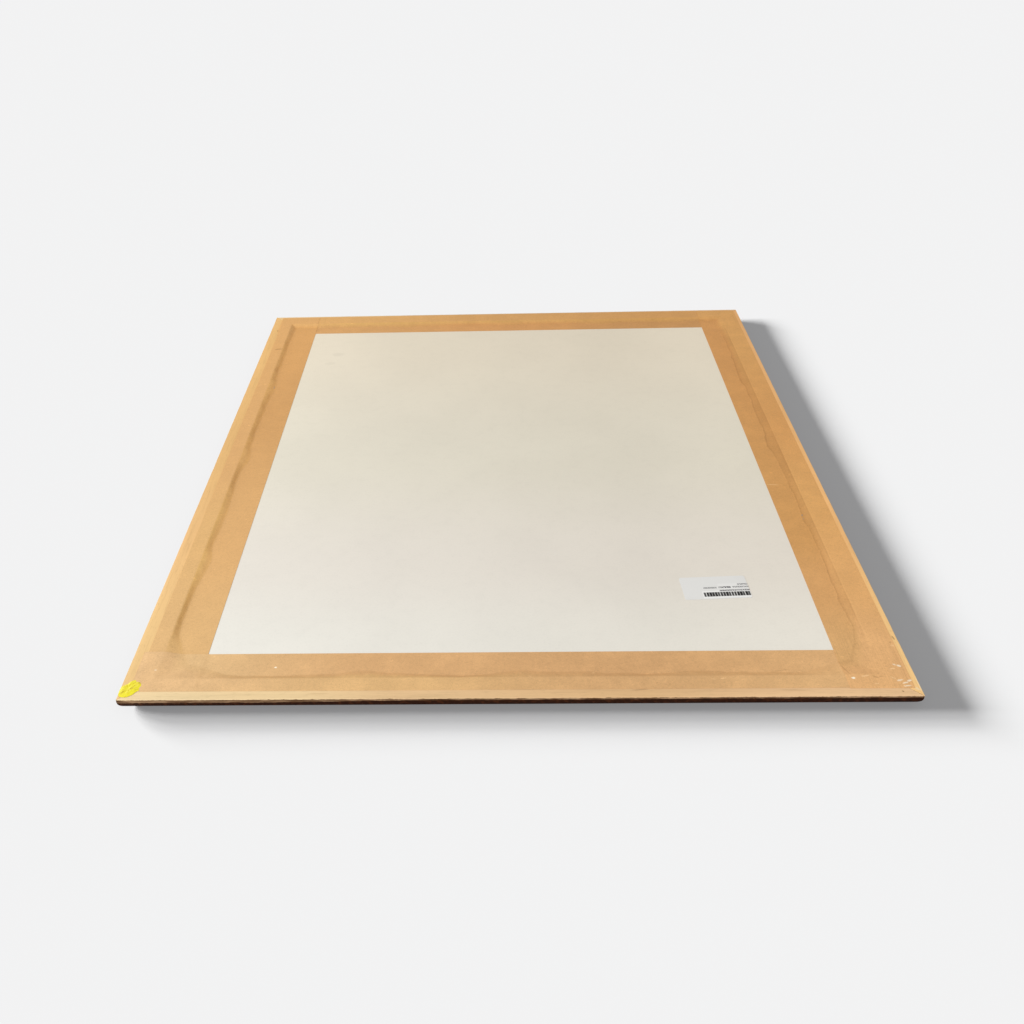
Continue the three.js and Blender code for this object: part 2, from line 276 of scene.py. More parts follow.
# %% Four rails in their places
OPEN_MITRE = math.radians(0.6)
SIDES = {
    "near": {"turn": 0, "at": (0, -HALF.y), "length": FRAME_WIDTH, "openings": (0.0, OPEN_MITRE)},
    "right": {"turn": 1, "at": (HALF.x, 0), "length": FRAME_LENGTH, "openings": (0.0, 0.0)},
    "far": {"turn": 2, "at": (0, HALF.y), "length": FRAME_WIDTH, "openings": (0.0, 0.0)},
    "left": {"turn": 3, "at": (-HALF.x, 0), "length": FRAME_LENGTH, "openings": (0.0, 0.0)},
}
rails = {}
for side, plan in SIDES.items():
    rail = make_rail(f"{side}_rail_wood", plan["length"], 10 + plan["turn"], plan["openings"])
    turned = Matrix.Translation((*plan["at"], 0)) @ Matrix.Rotation(plan["turn"] * math.pi / 2, 4, "Z")
    rail.data.transform(turned)
    smooth(rail, 35)
    rails[side] = rail
    print(rail.name, triangles(rail), "triangles")

# %% [markdown]
# ## The brown paper tape
# Gummed kraft paper seals the joint between the rails and the board. It lies flat on the wood, folds over
# the rebate's sharp edge, slopes down to the board, and lies flat again. Where a steel point stands out of
# the rebate wall the paper is held off the board, so the slope runs further in. A cloth simulation would
# spread this fold too softly, so each strip is a fine grid whose corners are laid on a surface that is
# worked out: the rails' back, then a slope whose width wanders along the rail, then the board.

# %% Where the paper rests
SLOPE_WIDTH = {"near": 7.4 * MM, "right": 6.8 * MM, "far": 6.5 * MM, "left": 5.4 * MM}
SLOPE_WANDER = 3.8 * MM
SLOPE_AT_CORNER = 26 * MM
CORNER_REACH = 66 * MM
SLOPE_POWER = 1.2
POINT_REACH = 3.6 * MM
POINT_SPREAD = 17 * MM
PAPER = 0.16 * MM
AIR = 0.05 * MM


def points_along(side):
    """Where the steel points stand along one side, as distances from the middle of the frame."""
    axis = 0 if side in ("near", "far") else 1
    places = []
    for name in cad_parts:
        if name.startswith(f"{side}_point_"):
            low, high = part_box(name)
            places.append((low[axis] + high[axis]) / 2)
    return sorted(places)


POINTS = {side: points_along(side) for side in SIDES}
print("steel points along each side, in mm:", {s: [round(p / MM) for p in ps] for s, ps in POINTS.items()})


def slope_width(side, along):
    """How far the paper's slope reaches in from the rebate wall at a place along this side."""
    seed = list(SIDES).index(side) * 7.3
    wander = noise.noise(Vector((along * 13, seed, 0))) + 0.45 * noise.noise(Vector((along * 62, seed, 3)))
    width = SLOPE_WIDTH[side] + SLOPE_WANDER * (wander + 0.16 * noise.noise(Vector((along * 240, seed, 9))))
    for place in POINTS[side]:
        away = abs(along - place) / POINT_SPREAD
        width += POINT_REACH * math.exp(-away * away * 0.9)
    width = max(width, 2.5 * MM)
    if side == "far" or (side != "near" and along > 0):
        return width
    to_corner = (HALF.x if side == "near" else HALF.y) - REBATE_WALL - abs(along)
    gentle = max(0.0, 1 - to_corner / CORNER_REACH)
    gentle = gentle * gentle * (3 - 2 * gentle)
    return width * (1 - gentle) + SLOPE_AT_CORNER * gentle


def slope_at(side, inwards, along):
    """Height share (1 on the rail, 0 on the board) of the paper at this distance in from the edge."""
    if inwards <= REBATE_WALL:
        return 1.0
    run = (inwards - REBATE_WALL) / slope_width(side, along)
    if run >= 1:
        return 0.0
    return (1 - run) ** SLOPE_POWER


def rest_share(x, y):
    """The highest of the four sides' slopes at this place."""
    return max(
        slope_at("near", HALF.y + y, x),
        slope_at("far", HALF.y - y, x),
        slope_at("left", HALF.x + x, y),
        slope_at("right", HALF.x - x, y),
    )


def painted_hang_at(x, y, share):
    """How much painted shade the free paper gets: most just off the wood, and again in the fold at the
    board.
    """
    if share in (0.0, 1.0):
        return 0.0
    run = 1 - share ** (1 / SLOPE_POWER)
    chance = 0.5 + 0.9 * noise.noise(Vector((x * 11, y * 11, 4.0)))
    fold = math.exp(-((run - 0.88) / 0.1) ** 2)
    dark = (0.9 - 0.5 * run) * (1.15 - 0.5 * chance) + fold * (0.15 + 0.5 * chance)
    to_corner = HALF.x - abs(x) + HALF.y - abs(y)
    calm = min(1.0, max(0.25, (to_corner - 60 * MM) / (70 * MM)))
    return dark * calm * min(1.0, (1 - run) * 8)


# %% [markdown]
# The strips were laid one after the other: far, then left, then near, then right. Where a strip crosses an
# earlier one it rides over it, and its own paper shows the step. The lift is full over the strip below and
# fades within a fraction of a millimetre outside it.

# %% Lay the four strips
LAID_OVER = {"far": [], "left": ["far"], "near": ["left"], "right": ["far", "near"]}
LIFT_FADE = 0.7 * MM
GRID_ACROSS = 0.8 * MM
GRID_ALONG = 1.7 * MM
RIPPLE = 0.35 * MM


def strip_box(side):
    low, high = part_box(f"{side}_tape")
    return low.x, high.x, low.y, high.y


def lift_over(side, x, y):
    """How much of a paper's thickness this strip is raised by the strips below it."""
    most = 0.0
    for below in LAID_OVER[side]:
        x0, x1, y0, y1 = strip_box_of[below]
        outside = max(x0 - x, x - x1, y0 - y, y - y1)
        most = max(most, 1 - min(max(outside / LIFT_FADE, 0.0), 1.0))
    return most


def lay_strip(side):
    """A grid of paper the size of the strip, laid on the surface below it and given its thickness."""
    x0, x1, y0, y1 = strip_box_of[side]
    sideways = side in ("near", "far")
    step_x, step_y = (GRID_ALONG, GRID_ACROSS) if sideways else (GRID_ACROSS, GRID_ALONG)
    let_go()
    bpy.ops.mesh.primitive_grid_add(
        x_subdivisions=round((x1 - x0) / step_x), y_subdivisions=round((y1 - y0) / step_y), size=1,
        location=((x0 + x1) / 2, (y0 + y1) / 2, 0),
    )
    bpy.context.object.scale = (x1 - x0, y1 - y0, 1)
    strip = new_piece(f"{side}_tape_paper")
    painted_hang = []
    for corner in strip.data.vertices:
        x, y = corner.co.x, corner.co.y
        share = rest_share(x, y)
        ripple = noise.noise(Vector((x * 120, y * 120, 2.0)))
        ripple += 0.5 * noise.noise(Vector((x * 330, y * 330, 7.0)))
        loose = 4 * share * (1 - share)
        height = BOARD_TOP + (BACK - BOARD_TOP) * share + AIR
        height += (PAPER + AIR) * lift_over(side, x, y)
        height += max(0.0, ripple) * loose * RIPPLE
        corner.co.z = height
        # How much painted shade the free paper gets here, kept for its finish.
        painted_hang.append(painted_hang_at(x, y, share))
    layer = strip.data.attributes.new("painted_hang", "FLOAT", "POINT")
    layer.data.foreach_set("value", painted_hang)
    add_modifier(strip, "SOLIDIFY", thickness=PAPER, offset=1)
    smooth(strip, 40)
    return strip


strip_box_of = {side: strip_box(side) for side in LAID_OVER}
strips = {side: lay_strip(side) for side in LAID_OVER}
for strip in strips.values():
    print(strip.name, triangles(strip), "triangles")

# %% [markdown]
# ## The daub of paint
# A thick daub of yellow paint sits on the near left corner, over bare wood and the ends of two strips. It
# starts as a filled circle that is pulled up into a low slab and inset many times, so that it has rings to
# shape. Its outline is longer one way and has a notch, as two dabs of a brush leave, and its top keeps the
# brush's ridges. The rim stays thin, because that is where the paint dried first.

# %% Paint daub
DAUB_MIDDLE = Vector((-HALF.x + 7.4 * MM, -HALF.y + 12.6 * MM, BACK))
DAUB_LEAN = math.radians(57)
DAUB_NOTCH = math.radians(120)
DAUB_RADIUS = 9.0 * MM
DAUB_RISE = 0.75 * MM
DAUB_RIM = 0.3 * MM
DAUB_RINGS = 9


def daub_reach(angle):
    """How far the paint's outline lies from its middle in this direction, as a share of its radius."""
    across = (angle - DAUB_NOTCH + math.pi) % (2 * math.pi) - math.pi
    way = Vector((math.cos(angle), math.sin(angle), 0))
    ragged = 0.07 * noise.noise(way * 2.7) + 0.05 * noise.noise(way * 6 + Vector((4, 1, 0)))
    return 1 + 0.2 * math.cos(2 * (angle - DAUB_LEAN)) - 0.17 * math.exp(-(across * 3) ** 2) + ragged


def make_daub():
    let_go()
    bpy.ops.mesh.primitive_circle_add(vertices=96, radius=DAUB_RADIUS, fill_type="NGON", location=(0, 0, 0))
    piece = new_piece("paint_daub_dried")
    work_on(piece)
    bpy.ops.mesh.select_all(action="SELECT")
    bpy.ops.mesh.extrude_region_move(TRANSFORM_OT_translate={"value": (0, 0, DAUB_RIM)})
    for _ in range(DAUB_RINGS):
        bpy.ops.mesh.inset(thickness=DAUB_RADIUS / (DAUB_RINGS + 1))
    bpy.ops.object.mode_set(mode="OBJECT")
    along = Vector((math.cos(DAUB_LEAN), math.sin(DAUB_LEAN), 0))
    for corner in piece.data.vertices:
        flat = Vector((corner.co.x, corner.co.y, 0))
        share = min(1.0, flat.length / DAUB_RADIUS)
        if corner.co.z > 1e-6:
            stroke = Vector((flat.dot(along) * 230, flat.cross(along).z * 400, 0.5))
            ridge = noise.noise(stroke) + 0.5 * noise.noise(flat * 900)
            corner.co.z = DAUB_RIM + DAUB_RISE * (1 - share ** 2.5) * (0.55 + 0.45 * ridge)
        reach = daub_reach(math.atan2(flat.y, flat.x))
        corner.co.x = max(DAUB_MIDDLE.x + flat.x * reach, -HALF.x + 0.1 * MM)
        corner.co.y = DAUB_MIDDLE.y + flat.y * reach
        corner.co.z += DAUB_MIDDLE.z
    bpy.ops.object.mode_set(mode="EDIT")
    bpy.ops.mesh.select_all(action="SELECT")
    bpy.ops.mesh.normals_make_consistent(inside=False)
    add_modifier(piece, "SUBSURF", levels=1, render_levels=1)
    smooth(piece, 60)
    return piece


daub = make_daub()
print(daub.name, triangles(daub), "triangles")

# %% [markdown]
# ## Writing shader maths as sums
# A finish is a small calculation that runs at every point of a surface. Written with nodes one by one it is
# long and hard to read, so `Value` wraps a node's output and lets Python's own signs add the Math nodes:
# `1 - mask * 0.3` makes two of them. Colours go through Mix nodes, because a Math node turns them grey.

# %% Shader values
class Value:
    """One output of a node, which can be added, subtracted, multiplied, divided and raised."""

    def __init__(self, finish, socket):
        self.finish = finish
        self.socket = socket

    def __add__(self, other):
        return self.finish.math("ADD", self, other)

    def __sub__(self, other):
        return self.finish.math("SUBTRACT", self, other)

    def __rsub__(self, other):
        return self.finish.math("SUBTRACT", other, self)

    def __mul__(self, other):
        return self.finish.math("MULTIPLY", self, other)

    def __truediv__(self, other):
        return self.finish.math("DIVIDE", self, other)

    __radd__ = __add__
    __rmul__ = __mul__


def colour(code):
    """A colour from its usual six-digit code, turned into the linear values that shaders use."""
    parts = [int(code[i:i + 2], 16) / 255 for i in (1, 3, 5)]
    return (*[p / 12.92 if p <= 0.04045 else ((p + 0.055) / 1.055) ** 2.4 for p in parts], 1.0)


def shade(tone, share):
    """The same colour made darker, or lighter, by this share."""
    return (*[part * share for part in tone[:3]], 1.0)


# %% [markdown]
# `Finish` is one material. Its `node` method adds any node by its type, its settings and its inputs, and the
# rest are short names for the nodes that these finishes use most: noise, a soft step, a colour mix, a bump.
# `graded` lets a tone change along a piece. A finish that has a grit scale gets a fine noise that it shares
# with its marks.
#
# `spot` is for the marks that have one place of their own, such as a nail hole or a scrape. It measures how
# far a point is from a leaning oval, roughens that distance with noise, and turns it into a mask.

# %% Finish: one material and its nodes
class Finish:
    """A material built from nodes, with a fine grit of its own if it is given a scale for one."""

    def __init__(self, name, grit_scale=None, **constants):
        self.material = bpy.data.materials.new(name)
        self.material.use_nodes = True
        self.tree = self.material.node_tree
        self.shader = self.tree.nodes["Principled BSDF"]
        for socket, value in constants.items():
            self.shader.inputs[socket.replace("_", " ")].default_value = value
        self.place = self.node("ShaderNodeTexCoord", output="Object")
        self.grit = self.noise(grit_scale, 2.0) if grit_scale else None

    def node(self, kind, settings=None, inputs=None, output=0):
        """Add a node: its settings first, then the value or link of each socket."""
        node = self.tree.nodes.new(kind)
        for name, value in (settings or {}).items():
            setattr(node, name, value)
        for key, value in (inputs or {}).items():
            self.plug(node.inputs[key], value)
        return Value(self, node.outputs[output])

    def plug(self, socket, value):
        if isinstance(value, Value):
            self.tree.links.new(value.socket, socket)
        else:
            socket.default_value = value

    def math(self, operation, *values):
        return self.node("ShaderNodeMath", {"operation": operation}, dict(enumerate(values)))

    def step(self, value, low, high):
        """0 at low, 1 at high and a soft rise between; low may be the larger number."""
        settings = {"interpolation_type": "SMOOTHSTEP"}
        inputs = {"Value": value, "From Min": low, "From Max": high}
        return self.node("ShaderNodeMapRange", settings, inputs)

    def between(self, value, low, high, soft):
        """1 from low to high, with soft ends."""
        return self.step(value, low - soft, low + soft) * self.step(value, high + soft, high - soft)

    def axis(self, name, vector=None):
        return self.node("ShaderNodeSeparateXYZ", None, {0: vector or self.place}, name)

    def stretched(self, scale):
        """The place on the piece, scaled by its own amount each way, for a pattern with a direction."""
        inputs = {"Vector": self.place, "Scale": scale}
        return self.node("ShaderNodeMapping", {"vector_type": "POINT"}, inputs)

    def local(self, at, turn, size):
        """The place as seen from a point, in axes turned about Z, with this size as the unit."""
        inputs = {"Vector": self.place, "Location": (*at, 0), "Rotation": (0, 0, turn), "Scale": (*size, 1)}
        return self.node("ShaderNodeMapping", {"vector_type": "TEXTURE"}, inputs)

    def spot(self, at, size, lean=0.0, ragged=0.5):
        """A mask that is 1 inside a ragged oval, given by its middle, half sizes and lean in degrees."""
        seen = self.local(at, math.radians(lean), size)
        away = self.node("ShaderNodeVectorMath", {"operation": "LENGTH"}, {0: seen}, "Value")
        return self.step(away + (self.grit - 0.5) * ragged * 2, 1.1, 0.6)

    def noise(self, scale, detail=2.0, vector=None, rough=0.5):
        inputs = {"Vector": vector or self.place, "Scale": scale, "Detail": detail, "Roughness": rough}
        return self.node("ShaderNodeTexNoise", None, inputs)

    def scaled(self, tone, share):
        """The same tone, lighter or darker."""
        return self.node("ShaderNodeVectorMath", {"operation": "SCALE"}, {0: tone, "Scale": share})

    def graded(self, name, stations):
        """A tone that changes along X or Y; a station is its place in millimetres and the tone there."""
        (last, code), *rest = stations
        body = colour(code)
        for place, code in rest:
            body = self.mix(self.step(self.axis(name), last * MM, place * MM), body, colour(code))
            last = place
        return body

    def mix(self, factor, first, second):
        """Mix two colours; first shows where the factor is 0."""
        return self.node("ShaderNodeMix", {"data_type": "RGBA"}, {0: factor, 6: first, 7: second}, 2)

    def bump(self, height, distance, strength=1.0):
        inputs = {"Height": height, "Distance": distance, "Strength": strength}
        return self.node("ShaderNodeBump", None, inputs)

    def wear(self, **sockets):
        """Plug values into the shader's own sockets."""
        for socket, value in sockets.items():
            self.plug(self.shader.inputs[socket.replace("_", " ")], value)
        return self.material


# %% [markdown]
# ## Bare and stained wood
# The back of a rail is bare planed wood: pale straw, with fine straight grain along the rail, short darker
# pores and a few knocks. The outside was stained dark before the frame was joined, and the dark colour stops
# in a ragged line just below the back, where a band of raw brown fibre shows. Its near-black is partly the
# staining and partly painted shade, where the side turns under towards the floor. One finish holds all
# three. How far a point lies below the back says which is seen, and noise makes the lines between them
# ragged. The bare wood's tones are given at stations along a rail and blended. They are partly the wood's
# own uneven tone and partly painted light, following how brightly each stretch was lit, as at the bright
# near end of the right rail. The near and far rails share one finish, with the grain along X. The side rails
# have one each, with the grain along Y.

# %% Moulding finish
SCRAPED_FIBRE = 0.45 * MM
STAIN_LINE = 3.4 * MM
STAIN_RISE = 1.5 * MM
RAGGED_STAIN = 1.6 * MM


def moulding_finish(name, along_y, tones, marks):
    """Wood with its grain along X or Y; a mark is its place, half sizes, lean, colour and strength."""
    wood = Finish(name, 1500.0, Specular_IOR_Level=0.06)

    def turned(run, across):
        return (across, run, across) if along_y else (run, across, across)

    grain = wood.stretched(turned(5, 110))
    broad = wood.noise(1.0, 3.0, grain, 0.55)
    fine = wood.noise(5.0, 3.0, grain, 0.6)
    streaks = wood.noise(1.0, 2.0, wood.stretched(turned(22, 900)), 0.6)
    pores = wood.step(wood.noise(1.0, 1.0, wood.stretched(turned(160, 1500))), 0.62, 0.70)
    body = wood.graded("Y" if along_y else "X", tones)
    for mask, share in (
        (wood.step(broad, 0.50, 0.28), 1.06),
        (wood.step(broad, 0.50, 0.72), 0.93),
        (wood.step(fine, 0.48, 0.78) * 0.4, 0.80),
        (wood.step(streaks, 0.56, 0.68) * 0.5, 0.84),
        (pores * 0.25, 0.62),
        (wood.step(wood.noise(30.0, 2.0), 0.5, 0.75) * 0.25, 1.12),
    ):
        body = wood.mix(mask, body, wood.scaled(body, share))
    for at, size, lean, tint, strength in marks:
        body = wood.mix(wood.spot(at, size, lean) * strength, body, tint)

    below = BACK - wood.axis("Z") + (wood.noise(330.0, 3.0, None, 0.65) - 0.5) * RAGGED_STAIN
    line = STAIN_LINE - wood.step(wood.axis("X"), -200 * MM, -80 * MM) * STAIN_RISE
    fibre_streak = wood.step(wood.noise(1.0, 3.0, wood.stretched(turned(60, 1100))), 0.38, 0.66)
    fibre = wood.mix(fibre_streak, colour("#5E4028"), colour("#A98560"))
    fibre = wood.mix(wood.step(wood.noise(22.0, 2.0), 0.45, 0.65) * 0.6, fibre, colour("#42260F"))
    # Near-black staining, partly painted shade where the side turns under towards the floor.
    stain_and_shade = wood.mix(wood.step(wood.noise(260.0, 3.0), 0.45, 0.7), colour("#2A1206"), colour("#42200C"))
    outside = wood.mix(wood.step(below, line - 0.4 * MM, line + 0.3 * MM), fibre, stain_and_shade)
    body = wood.mix(wood.step(below, SCRAPED_FIBRE - 0.1 * MM, SCRAPED_FIBRE + 0.15 * MM), body, outside)

    rough = 0.66 + 0.2 * wood.grit - 0.1 * pores
    surface = fine * 0.5 + streaks * 0.3 + wood.grit * 0.3 - pores * 0.5
    return wood.wear(Base_Color=body, Roughness=rough, Normal=wood.bump(surface, 0.00014, 0.6))


NAIL_HOLE = colour("#6B4520")
KNOCK = colour("#A67F55")
# Pale fibre, and also a painted highlight along the outer arris.
PALE_FIBRE_AND_HIGHLIGHT = colour("#F5E6C4")
# Tones along the rails: partly the wood's own tone and partly painted light, as at the right rail's bright
# near end.
ACROSS_TONES = ((-280, "#E4C491"), (-190, "#E3C18D"), (-80, "#DAB280"), (80, "#D2A876"), (260, "#E4B988"))
LEFT_TONES = ((-310, "#E3B87B"), (-150, "#E2B276"), (0, "#D9AB6E"), (300, "#DEB072"))
RIGHT_TONES = ((-340, "#FFCF8B"), (-150, "#F4BC7B"), (300, "#F1B87A"))
wood_across = moulding_finish("moulding_wood_across", False, ACROSS_TONES, [
    ((94.6 * MM, -372.6 * MM), (7 * MM, 0.7 * MM), 4, KNOCK, 0.6),
    ((290.4 * MM, -375.9 * MM), (1.0 * MM, 0.7 * MM), -40, NAIL_HOLE, 0.7),
    ((296.5 * MM, -371.0 * MM), (2.2 * MM, 0.5 * MM), -8, KNOCK, 0.9),
    ((-150 * MM, -375.0 * MM), (9 * MM, 0.8 * MM), 2, KNOCK, 0.25),
    ((210 * MM, -374.0 * MM), (12 * MM, 1.0 * MM), -2, KNOCK, 0.25),
])
wood_left = moulding_finish("moulding_wood_left", True, LEFT_TONES, [
    ((-296.1 * MM, 334.7 * MM), (1.6 * MM, 0.9 * MM), 12, NAIL_HOLE, 0.8),
    ((-296.5 * MM, 336.6 * MM), (1.2 * MM, 2.2 * MM), 0, KNOCK, 0.4),
])
wood_right = moulding_finish("moulding_wood_right", True, RIGHT_TONES, [
    ((302.2 * MM, -312 * MM), (0.8 * MM, 3.0 * MM), 10, NAIL_HOLE, 0.45),
    ((301.8 * MM, -373 * MM), (1.2 * MM, 3.0 * MM), 40, PALE_FIBRE_AND_HIGHLIGHT, 0.4),
    # A thin painted highlight along the outer arris near the corner.
    ((304.5 * MM, -368 * MM), (0.4 * MM, 10 * MM), 0, PALE_FIBRE_AND_HIGHLIGHT, 0.5),
])

# %% [markdown]
# ## Kraft paper
# Kraft paper is brown and faintly cloudy, with finer specks between the clouds and a slight rib along the
# roll. Here and there a pale fleck of bleached fibre was caught in it. Where it hangs free over the rebate,
# with nothing pale behind it, its tone is painted: the attribute that was stored while the strips were laid
# says where, most just off the wood and again in the fold at the board, and the tint of each strip says by
# how much. Most strips get painted shade there, the right one the most, because the lamps light its slope.
# The left one, whose slope faces away from the lights, gets a painted lightening instead. Each strip has its
# own tones and its own scuffs, so the finish is made four times.

# %% Tape finish
def tape_finish(side, tones, marks):
    """Brown paper with tones over wood and over board; a mark is its place, half sizes, lean and colour."""
    paper = Finish(f"kraft_tape_{side}", 1100.0, Roughness=0.62, Specular_IOR_Level=0.25)
    painted_hang = paper.node("ShaderNodeAttribute", {"attribute_name": "painted_hang"}, None, "Fac")
    run, roll = ("X", (2, 1500, 1500)) if side in ("near", "far") else ("Y", (1500, 2, 1500))
    clouds = paper.noise(48.0, 4.0, None, 0.6)
    fibres = paper.noise(380.0, 3.0, None, 0.65)
    rib = paper.noise(1.0, 1.0, paper.stretched(roll))
    raised = paper.step(paper.axis("Z"), BOARD_TOP + 0.6 * MM, BACK - 0.4 * MM)
    body = paper.mix(raised, paper.graded(run, tones["board"]), paper.graded(run, tones["wood"]))
    changes = [
        (paper.step(clouds, 0.36, 0.66) * CLOUDINESS[side], 0.87),
        (paper.step(clouds, 0.5, 0.25) * CLOUDINESS[side], 1.08),
        (paper.step(fibres, 0.45, 0.75) * 0.6, 0.86),
        (paper.step(fibres, 0.42, 0.28) * 0.6, 1.12),
        (paper.step(paper.grit, 0.5, 0.72) * 0.7, 0.80),
        (paper.step(paper.grit, 0.42, 0.28) * 0.5, 1.14),
        (paper.step(paper.noise(170.0, 1.0), 0.73, 0.79) * 0.6, 1.2),
    ]
    if side == "right":
        scraped = paper.step(paper.axis("Y"), -240 * MM, -330 * MM)
        changes.append((paper.step(rib, 0.48, 0.58) * scraped * 0.45, 0.86))
    for mask, share in changes:
        body = paper.mix(mask, body, paper.scaled(body, share))
    # Painted shade on the free paper's slope and fold; on the left strip, a painted lightening instead.
    hung = paper.node("ShaderNodeVectorMath", {"operation": "MULTIPLY"}, {0: body, 1: PAINTED_HANG_TINT[side]})
    body = paper.mix(painted_hang, body, hung)
    for at, size, lean, tint, strength in marks:
        body = paper.mix(paper.spot(at, size, lean) * strength, body, tint)
    surface = clouds * 0.3 + fibres * 0.3 + paper.grit * 0.2 + rib * 0.1
    return paper.wear(Base_Color=body, Normal=paper.bump(surface, 0.00007, 0.5))


# %% [markdown]
# The scuffs are few, so each is listed, in millimetres from the middle of the frame. Most are by the near
# right corner, where the frame was dragged: the paper is scraped there down to its pale core.

# %% Scuffs, and the four tapes
PALE = colour("#FFF3D6")
TAN = colour("#F2C48B")
# Marks in this dark colour are painted shade in creases and along a strip's edge; the smallest are dark
# specks of dirt.
DARK_SPECK_AND_CREASE_SHADE = colour("#8E6230")
SCUFFS = {
    "far": [],
    "left": [
        (-286, 275.8, 5.2, 1.0, 8, DARK_SPECK_AND_CREASE_SHADE, 0.8),
        (-282.3, -344.8, 1.1, 0.8, 0, PALE, 0.3),
    ],
    "near": [
        (84.0, -345.6, 4.0, 0.35, -28, DARK_SPECK_AND_CREASE_SHADE, 0.3),
        (206.0, -348.0, 9.0, 0.35, 10, DARK_SPECK_AND_CREASE_SHADE, 0.3),
        (-188.9, -340.6, 1.2, 0.9, 0, PALE, 0.75),
        (-283.0, -346.5, 1.0, 0.8, 0, PALE, 0.35),
        (159.5, -360.2, 2.6, 0.5, 16, TAN, 0.7),
        (152.0, -361.0, 2.0, 0.5, -10, TAN, 0.55),
        (108.3, -365.1, 1.0, 0.5, 20, DARK_SPECK_AND_CREASE_SHADE, 0.4),
        (118.0, -366.4, 0.9, 0.5, -20, DARK_SPECK_AND_CREASE_SHADE, 0.35),
        (98.3, -366.2, 0.8, 0.5, 0, DARK_SPECK_AND_CREASE_SHADE, 0.35),
        (61.0, -350.0, 1.2, 0.8, 0, TAN, 0.5),
        (12.0, -356.0, 1.4, 0.8, 0, TAN, 0.4),
    ],
    "right": [
        (259.1, -67.2, 7.0, 0.6, -5, TAN, 0.6),
        (257.6, -361.0, 1.6, 1.4, 0, PALE, 0.85),
        (267.3, -358.6, 3.4, 0.7, 12, TAN, 0.8),
        (290.0, -350.3, 2.4, 0.9, 18, TAN, 0.8),
        (292.8, -345.6, 1.6, 0.9, -30, PALE, 0.45),
        (296.0, -347.0, 2.0, 1.3, -20, PALE, 0.65),
        (287.6, -361.2, 2.6, 0.7, -38, TAN, 0.7),
        (291.8, -363.8, 2.8, 1.1, 16, PALE, 0.45),
        (298.6, -364.2, 2.4, 1.1, 26, PALE, 0.6),
        (295.0, -366.8, 2.8, 0.9, 20, PALE, 0.55),
        (295.5, -370.2, 3.6, 0.8, 8, PALE, 0.5),
        (273.4, -367.6, 2.0, 0.7, 0, TAN, 0.55),
        (274.6, -359.8, 3.0, 1.0, -30, DARK_SPECK_AND_CREASE_SHADE, 0.35),
        (279.0, -359.2, 2.0, 0.8, 10, DARK_SPECK_AND_CREASE_SHADE, 0.2),
        (254.6, -350.0, 0.6, 9.0, 16, DARK_SPECK_AND_CREASE_SHADE, 0.3),
        (298.0, -318.0, 1.4, 0.8, 30, DARK_SPECK_AND_CREASE_SHADE, 0.35),
        (298.6, -322.0, 2.2, 1.0, 10, TAN, 0.5),
    ],
}
# Tones along each strip and from strip to strip: partly the paper's own tone and partly painted light,
# following how brightly each stretch was lit.
TAPE_TONES = {
    "far": {
        "wood": ((-200, "#DDA866"), (0, "#D8A160"), (200, "#D79E5B")),
        "board": ((-200, "#D59F62"), (0, "#D79B5D"), (200, "#CE9659")),
    },
    "left": {
        "wood": ((-310, "#D9AA6E"), (-150, "#DCAB6B"), (0, "#D8A467"), (300, "#DAA566")),
        "board": ((-310, "#DAAA6D"), (-150, "#D9A567"), (130, "#D09A5C"), (300, "#D8A05F")),
    },
    "near": {
        "wood": ((-280, "#DDAF78"), (-100, "#DCAD71"), (80, "#D4A36C"), (250, "#E3B176")),
        "board": ((-280, "#DEB279"), (-100, "#D8A56D"), (80, "#D4A16A"), (250, "#E0AD73")),
    },
    "right": {
        "wood": ((-330, "#EAB274"), (-240, "#E4AA68"), (-100, "#E2A761"), (50, "#DB9E5A"), (300, "#DEA45E")),
        "board": ((-330, "#DFAB6D"), (-240, "#DAA162"), (-150, "#D59B58"), (300, "#D69957")),
    },
}
# Painted shade on each strip's free paper; above 1 on the left strip, a painted lightening.
PAINTED_HANG_TINT = {"far": (0.92, 0.95, 0.84), "left": (1.12, 1.14, 1.01),
             "near": (0.985, 0.98, 0.94), "right": (0.66, 0.62, 0.57)}
CLOUDINESS = {"far": 0.4, "left": 0.25, "near": 0.6, "right": 0.4}


def tape_look(side):
    marks = []
    for x, y, half_x, half_y, lean, tint, strength in SCUFFS[side]:
        marks.append(((x * MM, y * MM), (half_x * MM, half_y * MM), lean, tint, strength))
    return tape_finish(side, TAPE_TONES[side], marks)


tape_looks = {side: tape_look(side) for side in strips}

# %% [markdown]
# ## The board and the label
# The backing board is smooth off-white card, very slightly mottled, with a few faint smudges. Its tone
# also carries painted light: paler and cooler towards the near end, and lighter towards its left and right
# edges. The label is cooler and whiter than the board, so it stands out although it is thin. What is
# printed on it is only made to look like print: bars whose widths come from a random number for each bar,
# and rows of dashes broken up by noise, which spell nothing. All of it is drawn in millimetres from the
# label's own corner.

# %% Board finish
# Tones along the board are painted light: paler and cooler towards the near end, where cool window light
# fell.
BOARD_TONES_AND_LIGHT = ((-310, "#E3DAC9"), (-200, "#E0D5C4"), (0, "#DED4BF"), (300, "#E3D6BF"))
SMUDGES = ((-209.4, 263.0, 8, 6, 0.4), (-215.5, 236.6, 8, 4.5, 0.3), (-232, 214, 3, 3, 0.12))


